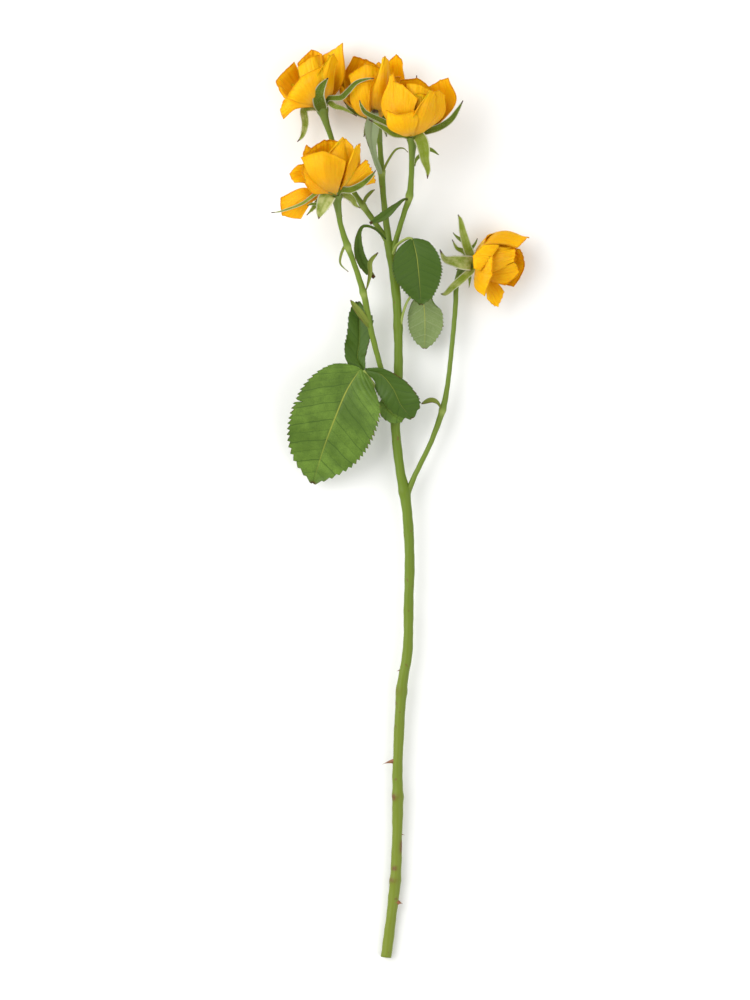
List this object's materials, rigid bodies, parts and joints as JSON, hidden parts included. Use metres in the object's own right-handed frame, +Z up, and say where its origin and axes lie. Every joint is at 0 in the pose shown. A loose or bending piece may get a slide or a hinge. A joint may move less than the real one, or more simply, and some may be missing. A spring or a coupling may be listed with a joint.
{
  "type": "cut rose",
  "caption": "Cut stem of yellow spray rose lying on its side, with a cluster of blooms on branching stalks, toothed leaves and small prickles.",
  "frame": {"origin": "on the surface that the stem lies on, under the middle of its box", "axes": "+Y along the stem from the cut end to the blooms, +Z up from the surface, +X to the right of the blooms"},
  "size_m": [0.1283, 0.4569, 0.0507],
  "materials": {
    "stem": "fresh green bark, slightly glossy, paler towards the cut end",
    "calyx": "light yellow-green, downy, with dark tips",
    "petal": "velvety golden yellow with paler margins",
    "leaf": "leathery mid green with paler veins and brown tooth tips"
  },
  "bodies": {
    "root": {"stem": "stem", "calyx_1": "calyx", "calyx_2": "calyx", "calyx_3": "calyx", "calyx_4": "calyx", "calyx_5": "calyx", "bloom_1": "petal", "bloom_2": "petal", "bloom_3": "petal", "bloom_4": "petal", "bloom_5": "petal", "leaf_lower": "leaf", "leaf_upper": "leaf", "leaf_back": "leaf", "bract_crown": "leaf", "bract_thread": "leaf", "bract_hook": "leaf", "bract_curl": "leaf", "bract_stalk_4": "leaf", "bract_pale": "leaf", "bract_low_thread": "leaf", "bract_stalk_1": "leaf", "bract_right": "leaf"}
  },
  "joints": []
}
